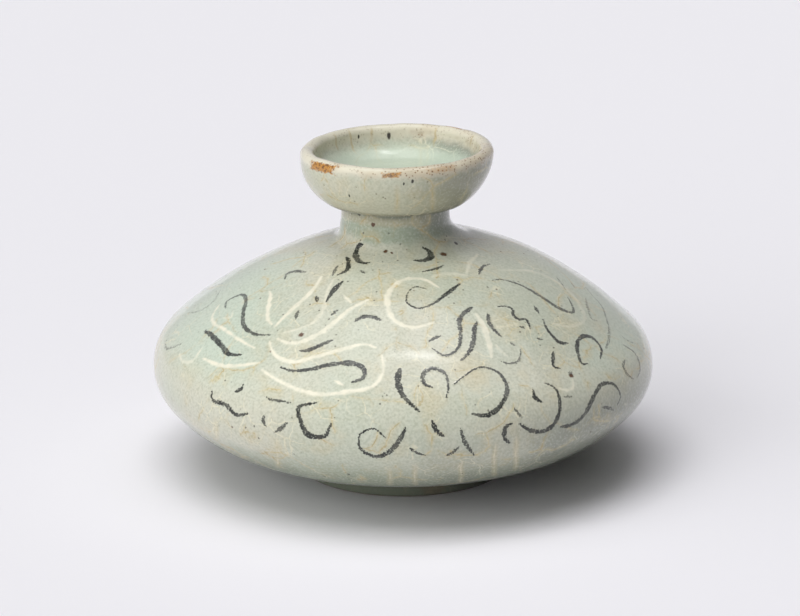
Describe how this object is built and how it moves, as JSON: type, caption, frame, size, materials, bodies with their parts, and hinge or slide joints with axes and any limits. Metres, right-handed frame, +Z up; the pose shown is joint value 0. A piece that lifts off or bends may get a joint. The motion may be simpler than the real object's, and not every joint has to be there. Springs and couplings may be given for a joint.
{
  "type": "oil bottle",
  "caption": "Squat celadon oil bottle with a wide, low body, a short neck under a dish mouth, a low foot ring, and sprays and a scroll in black and white slip.",
  "frame": {"origin": "centre of the foot ring's underside, on the surface that the bottle stands on", "axes": "+Z up along the bottle's axis, -Y towards the front with the two sprays, +X to the right seen from the front"},
  "size_m": [0.086, 0.0864, 0.0568],
  "materials": {
    "celadon_glaze": "glossy grey-green glaze with fine crackle",
    "black_slip": "black slip under the glaze",
    "white_slip": "white slip under the glaze"
  },
  "bodies": {
    "root": {"body": "celadon_glaze", "neck": "celadon_glaze", "dish_mouth": "celadon_glaze", "foot_ring": "celadon_glaze", "front_left_spray_black": "black_slip", "front_left_spray_white": "white_slip", "front_right_spray_black": "black_slip", "front_right_spray_white": "white_slip", "front_scroll_black": "black_slip", "front_collar_black": "black_slip", "rear_left_spray_black": "black_slip", "rear_left_spray_white": "white_slip", "rear_right_spray_black": "black_slip", "rear_right_spray_white": "white_slip", "rear_scroll_black": "black_slip", "rear_collar_black": "black_slip"}
  },
  "joints": []
}
